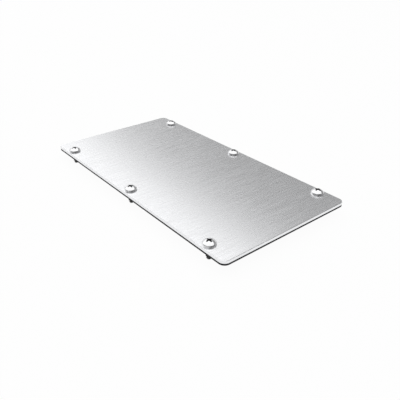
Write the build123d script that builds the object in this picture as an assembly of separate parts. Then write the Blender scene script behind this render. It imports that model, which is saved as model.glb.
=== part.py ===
from build123d import *
from math import sqrt
import os

# Rectangular cover plate, in millimetres.
# A brushed stainless sheet lies on a die-cut rubber gasket, and six pan-head tapping screws
# hold both down: three along each long edge. The mounting plane, which is the gasket's
# underside, is z = 0. The origin is the middle of the screw pattern on that plane, +X runs
# along the long edges and +Z points away from the surface that is covered.

# ---------------------------------------------------------------- driving dimensions
# Sheet
plate_length = 193.0
plate_width = 100.0
plate_thickness = 2.0
plate_corner_radius = 4.0
plate_edge_break = 0.2  # chamfer of the deburred rim, above and below

# Gasket, as long and as wide as the sheet
gasket_thickness = 1.0
gasket_band = 12.0  # width of the rubber all round its window
gasket_window_radius = 3.0

# Screw pattern
screws_per_side = 3
screw_end_inset = 17.5  # screw axis to the short edge of the sheet
screw_side_inset = 5.0  # screw axis to the long edge of the sheet
screw_hole_clearance = 0.3  # all round the thread

# Tapping screw, thread size ST4.2 with a cone end
thread_diameter = 4.2
core_diameter = 3.1
screw_length = 9.5  # under the head, to the point
point_length = 3.7
point_flat_diameter = 0.3

# Pan head
head_diameter = 8.2
head_height = 2.8
head_land = 0.6  # straight side of the head, next to the sheet
head_shoulder_radius = 1.0  # arc between the straight side and the crown

# Cross recess, four tapered wings round a conical pilot
recess_span = 4.6  # across two opposite wings, level with the top of the crown
recess_floor_span = 2.0
recess_wing_width = 1.15
recess_floor_wing_width = 0.75
recess_pilot_diameter = 2.3
recess_floor_pilot_diameter = 1.3
recess_depth = 1.9
recess_tip_depth = 0.35  # drill cone under the floor

# ---------------------------------------------------------------- levels and places
gasket_under = 0.0
gasket_top = gasket_under + gasket_thickness
plate_top = gasket_top + plate_thickness
point_tip = plate_top - screw_length
point_root = point_tip + point_length

screw_hole_radius = thread_diameter / 2 + screw_hole_clearance
screw_places = GridLocations(
    (plate_length - 2 * screw_end_inset) / (screws_per_side - 1),
    plate_width - 2 * screw_side_inset,
    screws_per_side,
    2,
)


def rim_sketch():
    """The outline that the sheet and the gasket share, with the screw holes in it."""
    outline = RectangleRounded(plate_length, plate_width, plate_corner_radius)
    return outline - screw_places * Circle(screw_hole_radius)


def make_cover_plate():
    """Flat sheet with rounded corners, six clearance holes and a deburred rim."""
    sheet = Pos(0, 0, gasket_top) * extrude(rim_sketch(), plate_thickness)
    faces = sheet.faces().sort_by(Axis.Z)
    rim = faces[0].outer_wire().edges() + faces[-1].outer_wire().edges()
    return chamfer(rim, plate_edge_break)


def make_gasket():
    """Rubber band under the rim of the sheet, open in the middle."""
    window = RectangleRounded(
        plate_length - 2 * gasket_band,
        plate_width - 2 * gasket_band,
        gasket_window_radius,
    )
    return Pos(0, 0, gasket_under) * extrude(rim_sketch() - window, gasket_thickness)


def make_head():
    """Pan head turned from a straight side, a shoulder arc and a crown arc, all tangent."""
    radius = head_diameter / 2
    shoulder_x = radius - head_shoulder_radius
    dome = head_height - head_land
    crown_radius = (shoulder_x**2 + dome**2 - head_shoulder_radius**2) / (
        2 * (dome - head_shoulder_radius)
    )
    crown_centre = head_height - crown_radius
    # Unit vector from the crown's centre through the shoulder's, where the two arcs meet
    reach = crown_radius - head_shoulder_radius
    lean_x, lean_z = shoulder_x / reach, (head_land - crown_centre) / reach
    meet = (crown_radius * lean_x, crown_centre + crown_radius * lean_z)
    half = sqrt((1 + lean_z) / 2)
    crown_middle = (
        crown_radius * lean_x / (2 * half),
        crown_centre + crown_radius * half,
    )
    turn = sqrt((1 + lean_x) / 2)
    shoulder_middle = (
        shoulder_x + head_shoulder_radius * turn,
        head_land + head_shoulder_radius * lean_z / (2 * turn),
    )
    side = Polyline((0, head_height), (0, 0), (radius, 0), (radius, head_land))
    shoulder = ThreePointArc((radius, head_land), shoulder_middle, meet)
    crown = ThreePointArc(meet, crown_middle, (0, head_height))
    profile = Plane.XZ * make_face([side, shoulder, crown])
    return Pos(0, 0, plate_top) * revolve(profile, Axis.Z)


def make_wing_pair(turn):
    """Two opposite wings of the recess as one tapered bar, turned about the screw's axis."""
    grow = (recess_span - recess_floor_span) / recess_depth
    widen = (recess_wing_width - recess_floor_wing_width) / recess_depth
    rise = recess_depth + head_land  # ends above the crown, so that it cuts right out
    floor = Rectangle(recess_floor_span, recess_floor_wing_width)
    mouth = Rectangle(
        recess_floor_span + grow * rise,
        recess_floor_wing_width + widen * rise,
    )
    bar = loft([floor, Pos(0, 0, rise) * mouth], ruled=True)
    return Rot(0, 0, turn) * bar


def make_recess():
    """Cutter for the cross recess: two crossed bars and the pilot with its drill cone."""
    pilot = Cone(
        recess_floor_pilot_diameter / 2,
        recess_pilot_diameter / 2,
        recess_depth,
        align=(Align.CENTER, Align.CENTER, Align.MIN),
    )
    drill = Cone(
        0,
        recess_floor_pilot_diameter / 2,
        recess_tip_depth,
        align=(Align.CENTER, Align.CENTER, Align.MAX),
    )
    cutter = make_wing_pair(0) + make_wing_pair(90) + pilot + drill
    return Pos(0, 0, plate_top + head_height - recess_depth) * cutter


def make_shank():
    """Plain neck through sheet and gasket, then the thread's outer form and its cone end."""
    thread_radius = thread_diameter / 2
    core_radius = core_diameter / 2
    profile = Polyline(
        (0, plate_top),
        (core_radius, plate_top),
        (core_radius, gasket_under),
        (thread_radius, gasket_under),
        (thread_radius, point_root),
        (point_flat_diameter / 2, point_tip),
        (0, point_tip),
        close=True,
    )
    return revolve(Plane.XZ * make_face(profile), Axis.Z)


def make_cover_screws():
    """One screw of one solid at each place, all turned the same way."""
    screw = make_head() + make_shank() - make_recess()
    return Compound(children=[place * screw for place in screw_places])


os.makedirs("parts", exist_ok=True)
export_step(make_cover_plate(), "parts/cover_plate.step")
export_step(make_gasket(), "parts/gasket.step")
export_step(make_cover_screws(), "parts/cover_screws.step")
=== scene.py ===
"""Looks of a rectangular cover plate: a brushed steel sheet on a rubber gasket, with six tapping screws.

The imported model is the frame. The sheet and the gasket keep their solids and get a finish. The screws are
made again with their running thread and a fine cross recess, each as a piece of its own.
"""

import logging
import math
from dataclasses import dataclass
from enum import Enum
from typing import Any

import bmesh
import bpy
from mathutils import Matrix, Vector


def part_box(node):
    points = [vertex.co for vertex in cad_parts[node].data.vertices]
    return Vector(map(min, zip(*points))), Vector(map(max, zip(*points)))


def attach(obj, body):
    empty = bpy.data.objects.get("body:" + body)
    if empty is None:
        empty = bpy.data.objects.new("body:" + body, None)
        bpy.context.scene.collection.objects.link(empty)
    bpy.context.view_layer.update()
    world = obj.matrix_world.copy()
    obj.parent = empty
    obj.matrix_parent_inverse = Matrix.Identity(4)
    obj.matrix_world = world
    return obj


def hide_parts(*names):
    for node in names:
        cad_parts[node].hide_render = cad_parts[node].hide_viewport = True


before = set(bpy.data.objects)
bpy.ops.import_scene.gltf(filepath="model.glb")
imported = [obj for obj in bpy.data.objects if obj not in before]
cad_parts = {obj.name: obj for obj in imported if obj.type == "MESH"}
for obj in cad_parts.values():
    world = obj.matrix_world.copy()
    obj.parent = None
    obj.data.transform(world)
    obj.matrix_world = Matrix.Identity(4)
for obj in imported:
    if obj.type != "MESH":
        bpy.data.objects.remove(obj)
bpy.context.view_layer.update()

LOG = logging.getLogger("cover_plate")
MM = 0.001
RECESS_DEPTH = "recess_depth"
UP = Vector((0.0, 0.0, 1.0))
PLATE_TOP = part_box("cover_plate")[1].z
GASKET_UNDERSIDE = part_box("gasket")[0].z
SCREWS_LOW, SCREWS_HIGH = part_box("cover_screws")

Colour = tuple[float, float, float]
WHITE = (1.0, 1.0, 1.0, 1.0)
# Colour sockets of a Mix node: both inputs and the result
MIX_FIRST, MIX_SECOND, MIX_RESULT = 6, 7, 2
# Values between which most of a noise lies, and the octaves of a fine one
NOISE_LOW, NOISE_HIGH = 0.35, 0.65
FINE_OCTAVES = 3.0
# Corners nearer than this are merged: in any mesh, and where one turn of a thread meets the next
MERGE_REACH = 0.0005 * MM
SEAM_REACH = 0.002 * MM
# Corners nearer than this to a cutting plane lie on it
CUT_REACH = 0.0001 * MM


# ------------------------------------------------------------------------ shader expressions
class Wire:
    """One output of a shader node, on which Python's operators add Math or Vector Math nodes."""

    def __init__(self, graph: "ShaderGraph", socket: bpy.types.NodeSocket) -> None:
        """Keep the graph that the socket belongs to."""
        self.graph = graph
        self.socket = socket

    def combine(self, operation: str, first: Any, second: Any) -> "Wire":
        """Add the node for one operator.

        Args:
            operation: The operation's name on a Math or a Vector Math node.
            first: The left operand, a wire, a number or three numbers.
            second: The right operand, of the same kinds.

        Returns:
            The result's wire.
        """
        pair = (first, second)
        kind = "ShaderNodeMath"
        if any(isinstance(one, tuple) or getattr(one, "is_vector", False) for one in pair):
            kind = "ShaderNodeVectorMath"
            first, second = (one if isinstance(one, (tuple, Wire)) else (one,) * 3 for one in pair)
        return self.graph.node(kind, {"operation": operation}, {0: first, 1: second})

    @property
    def is_vector(self) -> bool:
        """Whether the socket carries three numbers."""
        return self.socket.type == "VECTOR"

    def __add__(self, other: Any) -> "Wire":
        """Add to this wire."""
        return self.combine("ADD", self, other)

    def __radd__(self, other: Any) -> "Wire":
        """Add this wire to a number."""
        return self.combine("ADD", other, self)

    def __sub__(self, other: Any) -> "Wire":
        """Take from this wire."""
        return self.combine("SUBTRACT", self, other)

    def __rsub__(self, other: Any) -> "Wire":
        """Take this wire from a number."""
        return self.combine("SUBTRACT", other, self)

    def __mul__(self, other: Any) -> "Wire":
        """Multiply this wire."""
        return self.combine("MULTIPLY", self, other)

    def __rmul__(self, other: Any) -> "Wire":
        """Multiply a number by this wire."""
        return self.combine("MULTIPLY", other, self)


class ShaderGraph:
    """Node tree of one material or world."""

    def __init__(self, tree: bpy.types.NodeTree) -> None:
        """Start from an empty tree."""
        tree.nodes.clear()
        self.tree = tree

    def node(
        self, kind: str, settings: dict | None = None, sockets: dict | None = None, out: Any = 0
    ) -> Wire | None:
        """Add a node.

        Args:
            kind: The node's type, such as ShaderNodeTexNoise.
            settings: Its own properties, which are set before its sockets.
            sockets: Numbers, colours or wires by socket name or index.
            out: Name or index of the output that is handed back.

        Returns:
            The wire of that output, or nothing from a node without one.
        """
        made = self.tree.nodes.new(kind)
        for name, value in (settings or {}).items():
            setattr(made, name, value)
        for name, value in (sockets or {}).items():
            target = made.inputs[name]
            if isinstance(value, Wire):
                self.tree.links.new(value.socket, target)
            else:
                target.default_value = value
        return Wire(self, made.outputs[out]) if made.outputs else None

    def object_place(self) -> Wire:
        """Coordinates of the piece itself, in metres."""
        return self.node("ShaderNodeTexCoord", out="Object")

    def noise(self, place: Wire, scale: tuple, detail: float = 2.0) -> Wire:
        """Noise from 0 to 1.

        Args:
            place: Where it is read.
            scale: Cells per metre along X, Y and Z.
            detail: Octaves.

        Returns:
            The noise's value.
        """
        sockets = {"Vector": place * scale, "Scale": 1.0, "Detail": detail}
        return self.node("ShaderNodeTexNoise", sockets=sockets)

    def remap(
        self, value: Wire, low: float, high: float, to_low: float = 0.0, to_high: float = 1.0
    ) -> Wire:
        """Carry a range of a value smoothly onto another, clamped at both ends.

        Args:
            value: What is carried.
            low: The value that becomes to_low.
            high: The value that becomes to_high.
            to_low: The first end of the result.
            to_high: The other end of the result.

        Returns:
            The new value.
        """
        ends = {"Value": value, "From Min": low, "From Max": high, "To Min": to_low, "To Max": to_high}
        return self.node("ShaderNodeMapRange", {"interpolation_type": "SMOOTHSTEP"}, ends)

    def tint(self, share: Wire, first: Colour | Wire, second: Colour | Wire) -> Wire:
        """Mix two colours, the first where share is 0 and the second where it is 1."""
        first, second = (one if isinstance(one, Wire) else (*one, 1.0) for one in (first, second))
        sockets = {"Factor": share, MIX_FIRST: first, MIX_SECOND: second}
        return self.node("ShaderNodeMix", {"data_type": "RGBA"}, sockets, MIX_RESULT)

    def axis(self, place: Wire, name: str) -> Wire:
        """One of the three numbers X, Y and Z of a place."""
        return self.node("ShaderNodeSeparateXYZ", sockets={"Vector": place}, out=name)

    def bump(self, height: Wire, depth: float) -> Wire:
        """Turn a height from 0 to 1 into a normal, with its full depth in metres."""
        return self.node("ShaderNodeBump", sockets={"Height": height, "Distance": depth, "Strength": 1.0})

    def surface(self, **sockets: Any) -> None:
        """Close the tree with a Principled shader, whose sockets are named with _ for each space."""
        named = {name.replace("_", " "): value for name, value in sockets.items()}
        shader = self.node("ShaderNodeBsdfPrincipled", sockets=named)
        self.node("ShaderNodeOutputMaterial", sockets={"Surface": shader})


def new_material(name: str) -> tuple[bpy.types.Material, ShaderGraph]:
    """Make a material.

    Args:
        name: Its name.

    Returns:
        The material and its empty graph.
    """
    material = bpy.data.materials.new(name)
    material.use_nodes = True
    return material, ShaderGraph(material.node_tree)


# ------------------------------------------------------------------------ finishes
class GrainRun(Enum):
    """Which way the brush ran over the sheet: whether X, Y and Z each run across the scratches."""

    ALONG_LENGTH = (False, True, True)
    ACROSS_WIDTH = (True, False, True)


@dataclass(frozen=True)
class BrushedSheet:
    """Stainless sheet with a one-way satin brush: fine long scratches under a few broader strokes."""

    steel: Colour = (0.875, 0.88, 0.895)
    worn_steel: Colour = (0.82, 0.825, 0.838)
    run: GrainRun = GrainRun.ACROSS_WIDTH
    scratch_width: float = 0.28 * MM
    scratch_length: float = 11.0 * MM
    stroke_width: float = 1.1 * MM
    stroke_length: float = 24.0 * MM
    scratch_share: float = 0.6
    worn_from: float = 0.38
    worn_to: float = 0.66
    roughness_low: float = 0.23
    roughness_high: float = 0.30
    scratch_depth: float = 0.005 * MM

    def cells(self, width: float, length: float) -> tuple:
        """Cells per metre of a scratch or stroke of that width and length."""
        return tuple(1.0 / width if across else 1.0 / length for across in self.run.value)

    def build(self) -> bpy.types.Material:
        """Make the material."""
        material, graph = new_material("brushed_sheet")
        place = graph.object_place()
        scratches = graph.noise(place, self.cells(self.scratch_width, self.scratch_length), FINE_OCTAVES)
        strokes = graph.noise(place, self.cells(self.stroke_width, self.stroke_length))
        brush = self.scratch_share * scratches + (1.0 - self.scratch_share) * strokes
        graph.surface(
            Base_Color=graph.tint(
                graph.remap(brush, self.worn_from, self.worn_to), self.steel, self.worn_steel
            ),
            Metallic=1.0,
            Roughness=graph.remap(brush, NOISE_LOW, NOISE_HIGH, self.roughness_low, self.roughness_high),
            Normal=graph.bump(brush, self.scratch_depth),
        )
        return material


@dataclass(frozen=True)
class DieCutRubber:
    """Matt black sheet rubber with a fine grain and a little dust in it."""

    rubber: Colour = (0.011, 0.011, 0.012)
    dusty_rubber: Colour = (0.026, 0.026, 0.027)
    grain: float = 0.25 * MM
    patch: float = 9.0 * MM
    dust_from: float = 0.22
    dust_to: float = 0.36
    roughness_low: float = 0.58
    roughness_high: float = 0.78
    grain_depth: float = 0.02 * MM
    gloss: float = 0.3

    def build(self) -> bpy.types.Material:
        """Make the material."""
        material, graph = new_material("die_cut_rubber")
        place = graph.object_place()
        grain = graph.noise(place, (1.0 / self.grain,) * 3, FINE_OCTAVES)
        patches = graph.noise(place, (1.0 / self.patch,) * 3, FINE_OCTAVES)
        dust = graph.remap(patches * grain, self.dust_from, self.dust_to)
        graph.surface(
            Base_Color=graph.tint(dust, self.rubber, self.dusty_rubber),
            Roughness=graph.remap(patches, NOISE_LOW, NOISE_HIGH, self.roughness_low, self.roughness_high),
            Specular_IOR_Level=self.gloss,
            Normal=graph.bump(grain, self.grain_depth),
        )
        return material


@dataclass(frozen=True)
class ScrewSteel:
    """Stainless head with a soft tumbled sheen and painted shade in its recess, on a thread painted dark
    for the shade under the plate.
    """

    bright: Colour = (0.84, 0.84, 0.85)
    # Painted shade: the colour the thread below the gasket is painted, for the shade under the plate
    thread_painted_shade: Colour = (0.07, 0.069, 0.068)
    # Painted shade: the colour the recess is painted towards its floor, for the shade in the recess
    recess_painted_shade: Colour = (0.18, 0.18, 0.18)
    recess_shade: float = 0.25 * MM
    tumble: float = 0.35 * MM
    roughness_low: float = 0.16
    roughness_high: float = 0.26
    tumble_depth: float = 0.004 * MM
    # Rise above the gasket's underside over which the painted shade on the thread fades out
    thread_shade_reach: float = 1.0 * MM

    def build(self) -> bpy.types.Material:
        """Make the material."""
        material, graph = new_material("screw_steel")
        place = graph.object_place()
        depth = graph.node("ShaderNodeAttribute", {"attribute_name": RECESS_DEPTH}, out="Fac")
        height = graph.axis(place, "Z")
        # Painted shade under the plate: dark below the gasket's underside, fading to the head's colour just
        # above it
        unshaded_share = graph.remap(height, GASKET_UNDERSIDE, GASKET_UNDERSIDE + self.thread_shade_reach)
        # Painted shade in the recess: the head's colour darkens with depth below the crown
        head = graph.tint(graph.remap(depth, 0.0, self.recess_shade), self.bright, self.recess_painted_shade)
        tumbled = graph.noise(place, (1.0 / self.tumble,) * 3, FINE_OCTAVES)
        graph.surface(
            Base_Color=graph.tint(unshaded_share, self.thread_painted_shade, head),
            Metallic=1.0,
            Roughness=graph.remap(tumbled, NOISE_LOW, NOISE_HIGH, self.roughness_low, self.roughness_high),
            Normal=graph.bump(tumbled, self.tumble_depth),
        )
        return material


# ------------------------------------------------------------------------ mesh tools
class Cut(Enum):
    """How a tool's solid acts on a piece."""

    ADD = "UNION"
    TAKE_AWAY = "DIFFERENCE"


def to_object(mesh_maker: bmesh.types.BMesh, name: str) -> bpy.types.Object:
    """Turn a bmesh into an object at the origin, with its faces pointing outwards.

    Args:
        mesh_maker: The bmesh, which is freed.
        name: The object's name.

    Returns:
        The object, linked to the scene.
    """
    bmesh.ops.remove_doubles(mesh_maker, verts=mesh_maker.verts, dist=MERGE_REACH)
    bmesh.ops.recalc_face_normals(mesh_maker, faces=mesh_maker.faces)
    mesh = bpy.data.meshes.new(name)
    mesh_maker.to_mesh(mesh)
    mesh_maker.free()
    made = bpy.data.objects.new(name, mesh)
    bpy.context.scene.collection.objects.link(made)
    return made


def carve(piece: bpy.types.Object, tool: bpy.types.Object, cut: Cut) -> None:
    """Join a tool's solid to a piece or take it away, and drop the tool.

    Args:
        piece: What is changed.
        tool: A closed solid, which is removed.
        cut: Whether the tool adds or takes away.
    """
    boolean = piece.modifiers.new("carve", "BOOLEAN")
    boolean.operation = cut.value
    boolean.solver = "EXACT"
    boolean.object = tool
    depsgraph = bpy.context.evaluated_depsgraph_get()
    result = bpy.data.meshes.new_from_object(piece.evaluated_get(depsgraph))
    piece.modifiers.clear()
    piece.data = result
    bpy.data.objects.remove(tool)


# ------------------------------------------------------------------------ sub-assemblies
@dataclass
class SheetAndGasket:
    """The two flat layers, whose solids stay as they are and get their finish."""

    sheet_finish: BrushedSheet
    gasket_finish: DieCutRubber

    def build(self) -> None:
        """Put the finishes on."""
        for node, finish in (("cover_plate", self.sheet_finish), ("gasket", self.gasket_finish)):
            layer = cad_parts[node]
            layer.material_slots[0].material = finish.build()
            LOG.info("%s: finish put on", node)


@dataclass
class TappingScrew:
    """Pan-head tapping screw with a cross recess and a blunt end, made round its own axis at x = y = 0."""

    finish: ScrewSteel
    head_diameter: float = 8.2 * MM
    head_height: float = 2.8 * MM
    head_land: float = 0.6 * MM
    head_shoulder_radius: float = 1.0 * MM
    recess_span: float = 4.6 * MM
    recess_floor_span: float = 2.0 * MM
    recess_wing_width: float = 1.15 * MM
    recess_floor_wing_width: float = 0.75 * MM
    recess_pilot_diameter: float = 2.3 * MM
    recess_floor_pilot_diameter: float = 1.3 * MM
    recess_depth: float = 1.9 * MM
    recess_tip_depth: float = 0.35 * MM
    thread_diameter: float = 4.2 * MM
    core_diameter: float = 3.1 * MM
    pitch: float = 1.4 * MM
    crest_flat: float = 0.1 * MM
    flank_angle: float = math.radians(30.0)
    end_taper: float = 2.8 * MM
    end_flat_diameter: float = 2.8 * MM
    root_overlap: float = 0.2 * MM
    turn_steps: int = 48
    head_steps: int = 96
    shoulder_steps: int = 10
    crown_steps: int = 20
    crease_angle: float = math.radians(35.0)

    @property
    def seat(self) -> float:
        """Height of the head's underside, on top of the sheet."""
        return PLATE_TOP

    @property
    def crown(self) -> float:
        """Height of the head's crown before the recess is cut."""
        return self.seat + self.head_height

    @property
    def crown_radius(self) -> float:
        """Radius of the crown, which runs into the shoulder arc without a crease."""
        shoulder_x = self.head_diameter / 2 - self.head_shoulder_radius
        dome = self.head_height - self.head_land
        return (shoulder_x**2 + dome**2 - self.head_shoulder_radius**2) / (
            2 * (dome - self.head_shoulder_radius)
        )

    @property
    def tip(self) -> float:
        """Height of the screw's end."""
        return SCREWS_LOW.z

    def places(self) -> list[Vector]:
        """Where the screws' axes stand: three along each long edge, from the box that all six fill."""
        reach = self.head_diameter / 2
        across = (SCREWS_HIGH.y - reach, SCREWS_LOW.y + reach)
        middle = (SCREWS_LOW.x + SCREWS_HIGH.x) / 2
        along = (SCREWS_LOW.x + reach, middle, SCREWS_HIGH.x - reach)
        return [Vector((x, y, 0.0)) for y in across for x in along]

    def head(self) -> bpy.types.Object:
        """Turn the head: flat underside, straight side, shoulder arc and crown arc, all tangent.

        Returns:
            The closed head.
        """
        radius = self.head_diameter / 2
        shoulder_x = radius - self.head_shoulder_radius
        lean = math.asin(shoulder_x / (self.crown_radius - self.head_shoulder_radius))
        turned = bmesh.new()
        side = [
            turned.verts.new((reach, 0.0, height))
            for reach, height in (
                (0.0, self.seat),
                (radius, self.seat),
                (radius, self.seat + self.head_land),
            )
        ]
        for first, second in zip(side, side[1:]):
            turned.edges.new((first, second))
        shoulder_centre = Vector((shoulder_x, 0.0, self.seat + self.head_land))
        crown_centre = Vector((0.0, 0.0, self.crown - self.crown_radius))
        arcs = (
            (shoulder_centre, math.pi / 2 - lean, self.shoulder_steps),
            (crown_centre, lean, self.crown_steps),
        )
        last = side[-1]
        for centre, angle, steps in arcs:
            swept = bmesh.ops.spin(
                turned,
                geom=[last],
                cent=centre,
                axis=(0.0, -1.0, 0.0),
                angle=angle,
                steps=steps,
                use_merge=False,
            )
            last = next(one for one in swept["geom_last"] if isinstance(one, bmesh.types.BMVert))
        bmesh.ops.spin(
            turned,
            geom=turned.verts[:] + turned.edges[:],
            cent=(0.0, 0.0, 0.0),
            axis=UP,
            angle=2 * math.pi,
            steps=self.head_steps,
            use_merge=True,
        )
        return to_object(turned, "screw_head")

    def wing_pair(self, turn: float) -> bpy.types.Object:
        """Make two opposite wings of the recess as one tapered bar.

        Args:
            turn: How far the bar is turned round the axis.

        Returns:
            The closed bar, which reaches past the crown.
        """
        rise = self.recess_depth + self.head_land
        grow = (self.recess_span - self.recess_floor_span) / self.recess_depth
        widen = (self.recess_wing_width - self.recess_floor_wing_width) / self.recess_depth
        bar = bmesh.new()
        bmesh.ops.create_cube(bar, size=1.0)
        size = (self.recess_floor_span, self.recess_floor_wing_width, rise)
        bmesh.ops.scale(bar, vec=size, verts=bar.verts)
        mouth = [one for one in bar.verts if one.co.z > 0]
        flare = (
            1 + grow * rise / self.recess_floor_span,
            1 + widen * rise / self.recess_floor_wing_width,
            1.0,
        )
        bmesh.ops.scale(bar, vec=flare, verts=mouth)
        middle = (0.0, 0.0, self.crown - self.recess_depth + rise / 2)
        bmesh.ops.translate(bar, vec=middle, verts=bar.verts)
        about_axis = Matrix.Rotation(turn, 3, "Z")
        bmesh.ops.rotate(bar, cent=(0.0, 0.0, 0.0), matrix=about_axis, verts=bar.verts)
        return to_object(bar, "recess_wings")

    def pilot(self) -> bpy.types.Object:
        """Make the round middle of the recess: a tapered pilot with a drill cone under it."""
        floor = self.crown - self.recess_depth
        drill = bmesh.new()
        bmesh.ops.create_cone(
            drill,
            cap_ends=True,
            cap_tris=True,
            segments=self.turn_steps,
            radius1=self.recess_floor_pilot_diameter / 2,
            radius2=self.recess_pilot_diameter / 2,
            depth=self.recess_depth,
            matrix=Matrix.Translation((0.0, 0.0, floor + self.recess_depth / 2)),
        )
        on_axis = [one for one in drill.verts if one.co.xy.length < SEAM_REACH]
        lowest = min(on_axis, key=lambda one: one.co.z)
        bmesh.ops.translate(drill, vec=(0.0, 0.0, -self.recess_tip_depth), verts=[lowest])
        return to_object(drill, "recess_pilot")

    def thread(self) -> bpy.types.Object:
        """Run the thread from under the head to the blunt end, where crest and core taper together.

        Returns:
            The closed threaded shank.
        """
        core, crest = self.core_diameter / 2, self.thread_diameter / 2
        flank = (crest - core) * math.tan(self.flank_angle)
        root_flat = self.pitch - self.crest_flat - 2 * flank
        start = self.tip - self.pitch
        end = self.seat + self.root_overlap
        turns = math.ceil((end + self.pitch - start) / self.pitch)
        strip = bmesh.new()
        outline = (
            (core, 0.0),
            (core, root_flat),
            (crest, root_flat + flank),
            (crest, root_flat + flank + self.crest_flat),
            (core, self.pitch),
        )
        corners = [strip.verts.new((radius, 0.0, start + rise)) for radius, rise in outline]
        for first, second in zip(corners, corners[1:]):
            strip.edges.new((first, second))
        bmesh.ops.spin(
            strip,
            geom=strip.verts[:] + strip.edges[:],
            cent=(0.0, 0.0, 0.0),
            axis=UP,
            dvec=UP * (self.pitch / self.turn_steps),
            angle=2 * math.pi * turns,
            steps=self.turn_steps * turns,
            use_merge=False,
        )
        bmesh.ops.remove_doubles(strip, verts=strip.verts, dist=SEAM_REACH)
        nose = self.end_flat_diameter / self.thread_diameter
        for corner in strip.verts:
            share = max(0.0, min(1.0, (corner.co.z - self.tip) / self.end_taper))
            corner.co.xy *= nose + (1.0 - nose) * share
        for height, keep_above in ((self.tip, True), (end, False)):
            cut = bmesh.ops.bisect_plane(
                strip,
                geom=strip.verts[:] + strip.edges[:] + strip.faces[:],
                dist=CUT_REACH,
                plane_co=(0.0, 0.0, height),
                plane_no=UP,
                clear_inner=keep_above,
                clear_outer=not keep_above,
            )
            rim = [one for one in cut["geom_cut"] if isinstance(one, bmesh.types.BMEdge)]
            bmesh.ops.triangle_fill(strip, edges=rim, use_beauty=True)
        return to_object(strip, "screw_thread")

    def mark_recess(self, mesh: bpy.types.Mesh) -> None:
        """Write down on each vertex how far it lies below the crown, for the shade in the recess."""
        depths = mesh.attributes.new(RECESS_DEPTH, "FLOAT", "POINT")
        for corner, depth in zip(mesh.vertices, depths.data):
            reach = corner.co.xy.length
            if corner.co.z > self.seat and reach < self.recess_span / 2:
                dome = self.crown - self.crown_radius + math.sqrt(self.crown_radius**2 - reach**2)
                depth.value = max(0.0, dome - corner.co.z)

    def build(self) -> list[bpy.types.Object]:
        """Make one screw and set a copy of its mesh at each place.

        Returns:
            The six screws.
        """
        pattern = self.head()
        carve(pattern, self.thread(), Cut.ADD)
        for tool in (self.wing_pair(0.0), self.wing_pair(math.pi / 2), self.pilot()):
            carve(pattern, tool, Cut.TAKE_AWAY)
        self.mark_recess(pattern.data)
        material = self.finish.build()
        screws = []
        for number, place in enumerate(self.places(), start=1):
            mesh = pattern.data.copy()
            mesh.transform(Matrix.Translation(place))
            mesh.shade_smooth()
            mesh.set_sharp_from_angle(angle=self.crease_angle)
            mesh.materials.clear()
            mesh.materials.append(material)
            screw = bpy.data.objects.new(f"screw_{number}", mesh)
            bpy.context.scene.collection.objects.link(screw)
            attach(screw, "root")
            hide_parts("cover_screws")
            screws.append(screw)
            LOG.info("%s: %d faces", screw.name, len(mesh.polygons))
        bpy.data.objects.remove(pattern)
        return screws


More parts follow.
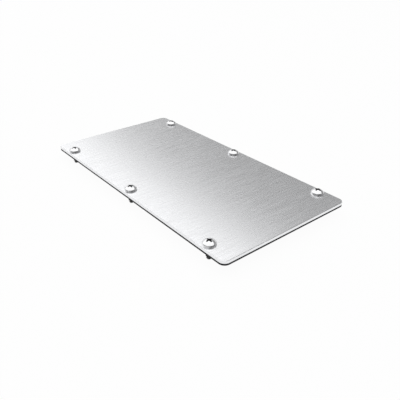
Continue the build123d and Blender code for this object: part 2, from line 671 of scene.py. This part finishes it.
# ------------------------------------------------------------------------ studio
@dataclass
class Studio:
    """White floor, one overhead softbox, a dark room with a bright horizon at the back, and the camera."""

    floor_size: float = 6.0
    floor_paint: Colour = (0.85, 0.85, 0.85)
    floor_white: float = 0.96
    softbox_height: float = 1.2
    softbox_low: tuple[float, float] = (-3.7, -1.60)
    softbox_high: tuple[float, float] = (1.2, 1.235)
    softbox_turn: float = math.radians(-3.0)
    softbox_radiance: float = 0.99
    wall_back: float = 0.31
    wall_front: float = 0.12
    sweep_light: float = 0.95
    sweep_end: float = -0.4
    sweep_start: float = 0.1
    sweep_top: float = 0.10
    wall_foot: float = 0.34
    azimuth: float = math.radians(50.96)
    elevation: float = math.radians(29.70)
    distance: float = 299.65 * MM
    aim_along: float = 39.0 * MM
    aim_across: float = -18.9 * MM
    lens: float = 43.41

    def camera_side(self) -> Vector:
        """Level direction from the object to the side where the camera stands."""
        return Vector((math.sin(self.azimuth), -math.cos(self.azimuth), 0.0))

    def floor(self) -> None:
        """Lay the floor at the screws' ends, white to the eye and in reflections but shaded a little."""
        slab = bmesh.new()
        bmesh.ops.create_grid(slab, x_segments=1, y_segments=1, size=self.floor_size / 2)
        bmesh.ops.translate(slab, vec=(0.0, 0.0, SCREWS_LOW.z), verts=slab.verts)
        floor = to_object(slab, "floor")
        material, graph = new_material("white_floor")
        kinds = ("Camera", "Glossy", "Transmission")
        ray = {kind: graph.node("ShaderNodeLightPath", out=f"Is {kind} Ray") for kind in kinds}
        mirrored = ray["Glossy"] + ray["Transmission"]
        seen = graph.node("ShaderNodeMath", {"operation": "MAXIMUM"}, {0: ray["Camera"], 1: mirrored})
        paint = graph.node("ShaderNodeBsdfDiffuse", sockets={"Color": (*self.floor_paint, 1.0)})
        white = graph.node("ShaderNodeEmission", sockets={"Color": WHITE, "Strength": 1.0})
        blend = {"Fac": seen * self.floor_white, 1: paint, 2: white}
        mixed = graph.node("ShaderNodeMixShader", sockets=blend)
        graph.node("ShaderNodeOutputMaterial", sockets={"Surface": mixed})
        floor.data.materials.append(material)

    def room(self) -> None:
        """Surround the object with a dark room, bright low at the back and white to the camera itself."""
        world = bpy.data.worlds.new("room")
        world.use_nodes = True
        bpy.context.scene.world = world
        graph = ShaderGraph(world.node_tree)
        heading = graph.node("ShaderNodeTexCoord", out="Generated")
        camera_ray = graph.node("ShaderNodeLightPath", out="Is Camera Ray")
        sides = {0: heading, 1: self.camera_side()}
        near = graph.node("ShaderNodeVectorMath", {"operation": "DOT_PRODUCT"}, sides, "Value")
        wall = graph.remap(near, -1.0, 1.0, self.wall_back, self.wall_front)
        sweep = graph.remap(near, self.sweep_end, self.sweep_start, self.sweep_light, self.wall_front)
        rise = graph.remap(graph.axis(heading, "Z"), self.sweep_top, self.wall_foot)
        level = sweep + rise * (wall - sweep)
        strength = level + camera_ray * (1.0 - level)
        background = graph.node("ShaderNodeBackground", sockets={"Color": WHITE, "Strength": strength})
        graph.node("ShaderNodeOutputWorld", sockets={"Surface": background})

    def softbox(self) -> None:
        """Hang the softbox over the object, longer to the left than to the right and turned a little."""
        lamp = bpy.data.lights.new("softbox", "AREA")
        lamp.shape = "RECTANGLE"
        lamp.size, lamp.size_y = (high - low for low, high in zip(self.softbox_low, self.softbox_high))
        lamp.energy = self.softbox_radiance * math.pi * lamp.size * lamp.size_y
        hung = bpy.data.objects.new("softbox", lamp)
        middle = [(low + high) / 2 for low, high in zip(self.softbox_low, self.softbox_high)]
        hung.location = (*middle, self.softbox_height)
        hung.rotation_euler.z = self.softbox_turn
        hung.visible_camera = False
        bpy.context.scene.collection.objects.link(hung)

    def camera(self) -> None:
        """Stand the camera off one corner, looking down on the sheet."""
        aim = Vector((self.aim_along, self.aim_across, PLATE_TOP))
        back = self.camera_side() * math.cos(self.elevation) + UP * math.sin(self.elevation)
        lens = bpy.data.cameras.new("camera")
        lens.lens = self.lens
        lens.clip_start = 1.0 * MM
        camera = bpy.data.objects.new("camera", lens)
        camera.location = aim + back * self.distance
        camera.rotation_euler = (-back).to_track_quat("-Z", "Y").to_euler()
        bpy.context.scene.collection.objects.link(camera)
        bpy.context.scene.camera = camera

    def build(self) -> None:
        """Set the whole studio up."""
        self.floor()
        self.room()
        self.softbox()
        self.camera()
        bpy.context.scene.view_settings.view_transform = "Standard"
        LOG.info("studio: ready")


def main() -> None:
    """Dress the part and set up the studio."""
    logging.basicConfig(level=logging.INFO, format="%(name)s %(message)s")
    SheetAndGasket(BrushedSheet(), DieCutRubber()).build()
    TappingScrew(ScrewSteel()).build()
    Studio().build()


if __name__ == "__main__":
    main()
